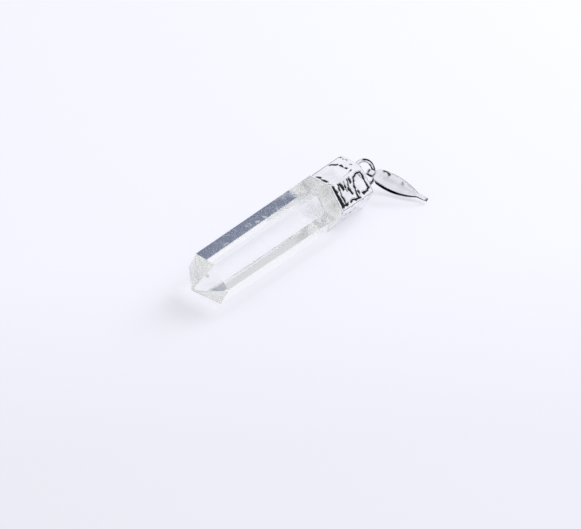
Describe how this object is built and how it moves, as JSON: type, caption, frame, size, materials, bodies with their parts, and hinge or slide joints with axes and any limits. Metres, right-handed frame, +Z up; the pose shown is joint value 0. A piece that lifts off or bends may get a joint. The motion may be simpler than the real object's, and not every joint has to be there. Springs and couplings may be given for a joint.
{
  "type": "crystal point pendant",
  "caption": "Clear six-sided crystal point in a creased silvery metal cap, with a soldered ring and a pinched leaf-shaped bail folded through it, lying on its side.",
  "frame": {"origin": "middle of the crystal's level side face, which it rests on", "axes": "+X along the crystal from its point toward the cap, +Z up, the bail lies to the -Y side"},
  "size_m": [0.0447, 0.0147, 0.0086],
  "materials": {
    "crystal": "polished clear crystal with faint veils near the cap",
    "cap": "bright silver plate over a creased surface",
    "bail": "bright silver plate"
  },
  "bodies": {
    "root": {"crystal": "crystal", "cap": "cap", "bail": "bail"}
  },
  "joints": []
}
